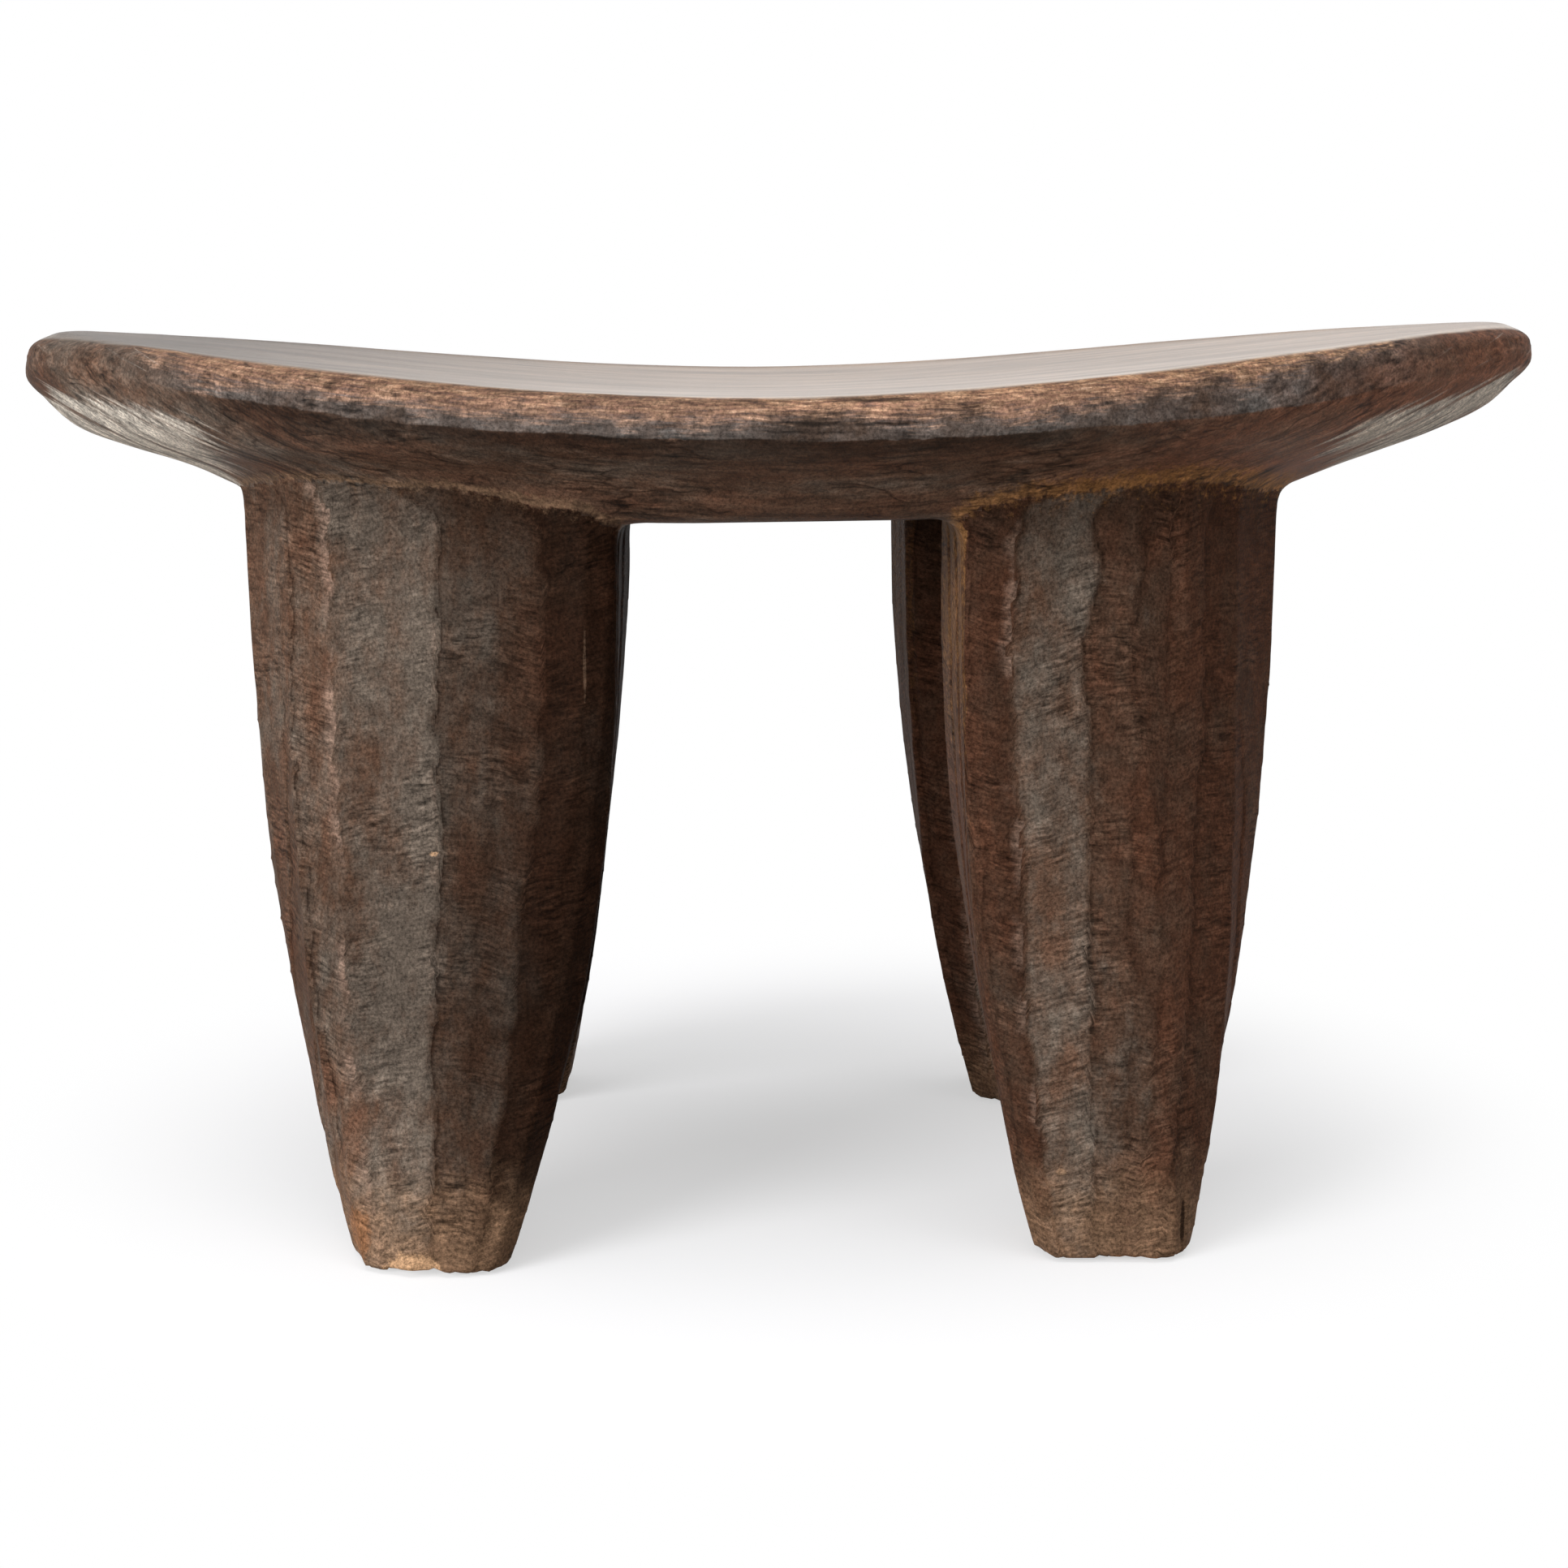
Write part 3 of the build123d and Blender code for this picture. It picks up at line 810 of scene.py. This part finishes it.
def polishedDish(tree, made, colour, roughness, level):
    # Polished pale and smooth by sitting, with long streaks of grain, and palest at its edge, a
    # painted reflection
    facingUp = addNode(tree, "MapRange", smooth, {0: made["slope"], 1: 0.4, 2: 0.7, 3: 0.0, 4: 1.0})
    inward = addNode(tree, "MapRange", smooth, {
        0: made["inland"], 1: 0.28, 2: 0.42, 3: 0.0, 4: 1.0})
    onTop = addNode(tree, "Math", multiply, {0: facingUp, 1: inward})
    flat = {key: [1000 / length for length in pattern[key]] + [0.0] for key in ("grain", "streak")}
    grainCo = addNode(tree, "VectorMath", multiply, {0: made["place"], 1: flat["grain"]})
    grain = addNode(tree, "TexNoise", inputs={
        "Vector": grainCo, "Scale": 1.0, "Detail": 3.0, "Roughness": 0.6})
    streakCo = addNode(tree, "VectorMath", multiply, {0: made["place"], 1: flat["streak"]})
    streak = addNode(tree, "TexNoise", inputs={
        "Vector": streakCo, "Scale": 1.0, "Detail": 4.0, "Roughness": 0.55, "Distortion": 0.4})
    both = addNode(tree, "Math", add, {0: grain, 1: streak})
    half = addNode(tree, "Math", multiply, {0: both, 1: 0.5})
    grainColour = addNode(tree, "ValToRGB", inputs={0: half})
    setStops(grainColour, ((0.36, "dishDark"), (0.64, "dishPale")))
    atEdge = addNode(tree, "MapRange", smooth, {
        0: made["inland"], 1: 0.42, 2: 0.7, 3: 0.6, 4: 0.0})
    topColour = addNode(tree, "Mix", ofColours, {
        0: atEdge, 6: grainColour, 7: linearColor(wood["dishEdgePaintedGlint"])}).outputs[2]
    # Painted shade: the dish's colour darkens towards the left
    leftShare = addNode(tree, "MapRange", inputs={0: made["X"], 1: -0.2, 2: -0.03, 3: 0.3, 4: 1.0})
    topLit = addNode(tree, "VectorMath", {"operation": "SCALE"}, {0: topColour, "Scale": leftShare})
    colour = addNode(tree, "Mix", ofColours, {0: onTop, 6: colour, 7: topLit}).outputs[2]
    roughness = addNode(tree, "Mix", {"data_type": "FLOAT"}, {
        0: onTop, 2: roughness, 3: wood["dishRoughness"]})
    calmer = addNode(tree, "Math", multiply, {0: onTop, 1: 0.6})
    level = addNode(tree, "Mix", {"data_type": "FLOAT"}, {0: calmer, 2: level, 3: 1.0})

    # The wax is thickest towards the front and at the edge, and thin at the left and the far edge
    oil = addNode(tree, "MapRange", inputs={
        0: streak, 1: 0.36, 2: 0.64, 3: 0.85 * wood["oil"], 4: 1.15 * wood["oil"]})
    beyond = addNode(tree, "MapRange", inputs={0: made["Y"], 1: 0.02, 2: 0.06, 3: 0.0, 4: 0.7})
    farEdge = addNode(tree, "MapRange", smooth, {
        0: made["inland"], 1: 0.5, 2: 1.9, 3: 1.0, 4: 0.0})
    farEdge = addNode(tree, "Math", multiply, {0: farEdge, 1: beyond})
    nearer = addNode(tree, "MapRange", inputs={0: made["Y"], 1: 0.1, 2: -0.1, 3: 0.8, 4: 1.1})
    nearer = addNode(tree, "Math", subtract, {0: nearer, 1: farEdge})
    nearer = addNode(tree, "Math", multiplyAdd, {0: atEdge, 1: 0.6, 2: nearer})
    for factor in (leftShare, nearer, onTop):
        oil = addNode(tree, "Math", multiply, {0: oil, 1: factor})
    return colour, roughness, level, oil


def legLayers(tree, made, colour):
    # Dark cracks where one cut laps under the next
    broken = addNode(tree, "MapRange", smooth, {0: made["rub"], 1: 0.36, 2: 0.5, 3: 0.0, 4: 0.85})
    crack = addNode(tree, "MapRange", smooth, {0: made["after"], 1: 0.0, 2: 0.22, 3: 1.0, 4: 0.0})
    for factor in (broken, made["crack"]):
        crack = addNode(tree, "Math", multiply, {0: crack, 1: factor})
    colour = addNode(tree, "Mix", ofColours, {
        0: crack, 6: colour, 7: linearColor(wood["dark"])}).outputs[2]

    # Feet scuffed to ochre
    height = addNode(tree, "MapRange", smooth, {
        0: made["Z"], 1: pattern["scuffTop"] * mm, 2: 0.0, 3: 0.0, 4: 0.75})
    scuffed = addNode(tree, "Math", multiply, {0: height, 1: made["scuff"]})
    share = addNode(tree, "MapRange", smooth, {0: scuffed, 1: 0.08, 2: 0.42, 3: 0.0, 4: 0.75})
    colour = addNode(tree, "Mix", ofColours, {
        0: share, 6: colour, 7: linearColor(wood["ochre"])}).outputs[2]

    # Single marks, ragged at their edges
    for middle, size, key, strength, _ in marks:
        off = addNode(tree, "VectorMath", subtract, {0: made["place"], 1: [v * mm for v in middle]})
        off = addNode(tree, "VectorMath", {"operation": "DIVIDE"}, {
            0: off, 1: [v * mm for v in size]})
        off = addNode(tree, "VectorMath", {"operation": "LENGTH"}, {0: off}).outputs["Value"]
        off = addNode(tree, "Math", multiplyAdd, {0: made["grit"], 1: 1.6, 2: off})
        share = addNode(tree, "MapRange", smooth, {0: off, 1: 1.5, 2: 1.95, 3: strength, 4: 0.0})
        colour = addNode(tree, "Mix", ofColours, {
            0: share, 6: colour, 7: linearColor(wood[key])}).outputs[2]
    return colour


def darkHardwood(name, isSeat):
    # Dense tropical hardwood: dark with oil, under painted light and shade, matt in the tool marks
    # and dull satin where it is rubbed
    material = bpy.data.materials.new(name)
    material.use_nodes = True
    tree = material.node_tree
    tree.nodes.clear()
    made = sharedNodes(tree, isSeat)
    colour = patina(tree, made, isSeat)
    level = toolLevel(tree, made, isSeat)
    colour = wornArrises(tree, made, colour, isSeat)
    colour = creaseDust(tree, made, colour)
    rough = wood["roughness"]
    roughness = addNode(tree, "MapRange", inputs={
        0: made["pore"], 1: 0.3, 2: 0.7, 3: rough - 0.08, 4: rough + 0.14})
    oil = 0.0
    if isSeat:
        colour = hullLayers(tree, made, colour)
        colour = rimFibres(tree, made, colour)
        colour = tipScrapesAndSheen(tree, made, colour)
        colour, roughness, level, oil = polishedDish(tree, made, colour, roughness, level)
    else:
        colour = legLayers(tree, made, colour)
    colour = addNode(tree, "VectorMath", {"operation": "SCALE"}, {0: colour, "Scale": level})
    relief = addNode(tree, "Math", add, {0: made["pore"], 1: made["stroke"]})
    bump = addNode(tree, "Bump", inputs={"Strength": 0.6, "Distance": 0.0007, "Height": relief})
    shader = addNode(tree, "BsdfPrincipled", inputs={
        "Base Color": colour, "Roughness": roughness, "IOR": 1.5, "Normal": bump,
        "Specular IOR Level": wood["seatGloss" if isSeat else "legGloss"],
        "Coat Weight": oil, "Coat Roughness": 0.3, "Coat IOR": 1.45})
    addNode(tree, "OutputMaterial", inputs={"Surface": shader})
    return material


seatWood = darkHardwood("oiledHardwoodSeat", True)
legWood = darkHardwood("oiledHardwoodLegs", False)
for piece in pieces:
    piece.data.materials.clear()
    piece.data.materials.append(seatWood if piece.name.startswith("seat") else legWood)
print("finishes on")


room = {                                # lengths in metres
    "floorSize": 14.0,
    "sky": 0.2,                         # what the sky gives to matt surfaces
    "aim": (0.0, 0.0, 0.15),            # where the lamps point
    "keyPower": 50.0,
    "keyPlace": (-1.6, -1.6, 0.85),
    "keySize": 1.2,
    "topPower": 32.0,
    "topPlace": (0.0, -0.2, 2.2),
    "topSize": 2.2,
    "fillPower": 7.0,
    "fillPlace": (1.6, -1.3, 0.6),
    "fillSize": 1.2,
    "floorBounce": "#9A938C",           # the floor as the wood sees it
    "paper": "#BDBDBF",
    "floorGlow": 0.53,
    "shadowMiddle": (0.0, 0.05, 0.0),   # the floor fades to pure white round this place
    "shadowReach": (0.29, 0.3, 1.0),
}
pureWhite = (1, 1, 1, 1)


def whereSeen(tree):
    # 1 where the white background itself is seen: by the camera, by reflection or through glass
    path = addNode(tree, "LightPath")
    seen = addNode(tree, "Math", larger, {
        0: path.outputs["Is Camera Ray"], 1: path.outputs["Is Glossy Ray"]})
    return addNode(tree, "Math", larger, {0: seen, 1: path.outputs["Is Transmission Ray"]})


def whiteFloor():
    shell = bmesh.new()
    bmesh.ops.create_grid(shell, x_segments=1, y_segments=1, size=room["floorSize"] / 2)
    mesh = bpy.data.meshes.new("floor")
    shell.to_mesh(mesh)
    shell.free()
    floor = bpy.data.objects.new("floor", mesh)
    bpy.context.collection.objects.link(floor)
    material = bpy.data.materials.new("whitePaper")
    material.use_nodes = True
    tree = material.node_tree
    tree.nodes.clear()
    paper = addNode(tree, "BsdfDiffuse", inputs={"Color": linearColor(room["paper"])})
    lift = addNode(tree, "Emission", inputs={"Color": pureWhite, "Strength": room["floorGlow"]})
    lifted = addNode(tree, "AddShader", inputs={0: paper, 1: lift})
    glow = addNode(tree, "Emission", inputs={"Color": pureWhite, "Strength": 1.0})
    place = addNode(tree, "TexCoord").outputs["Object"]
    off = addNode(tree, "VectorMath", subtract, {0: place, 1: room["shadowMiddle"]})
    off = addNode(tree, "VectorMath", {"operation": "DIVIDE"}, {0: off, 1: room["shadowReach"]})
    away = addNode(tree, "VectorMath", {"operation": "LENGTH"}, {0: off}).outputs["Value"]
    fade = addNode(tree, "MapRange", smooth, {0: away, 1: 0.55, 2: 1.1})
    white = addNode(tree, "MixShader", inputs={0: fade, 1: lifted, 2: glow})
    bounce = addNode(tree, "BsdfDiffuse", inputs={"Color": linearColor(room["floorBounce"])})
    both = addNode(tree, "MixShader", inputs={0: whereSeen(tree), 1: bounce, 2: white})
    addNode(tree, "OutputMaterial", inputs={"Surface": both})
    mesh.materials.append(material)


def skyAndLamps():
    world = bpy.data.worlds.new("studio")
    bpy.context.scene.world = world
    world.use_nodes = True
    tree = world.node_tree
    tree.nodes.clear()
    level = addNode(tree, "MapRange", inputs={0: whereSeen(tree), 3: room["sky"], 4: 1.0})
    background = addNode(tree, "Background", inputs={"Color": pureWhite, "Strength": level})
    addNode(tree, "OutputWorld", inputs={"Surface": background})
    for name in ("key", "top", "fill"):
        lamp = bpy.data.lights.new(name, "AREA")
        lamp.shape = "DISK"
        lamp.size = room[name + "Size"]
        lamp.energy = room[name + "Power"]
        holder = bpy.data.objects.new(name, lamp)
        holder.location = room[name + "Place"]
        ahead = Vector(room["aim"]) - holder.location
        holder.rotation_euler = ahead.to_track_quat("-Z", "Y").to_euler()
        bpy.context.collection.objects.link(holder)


whiteFloor()
skyAndLamps()
bpy.context.scene.view_settings.view_transform = "Standard"
print("room lit")
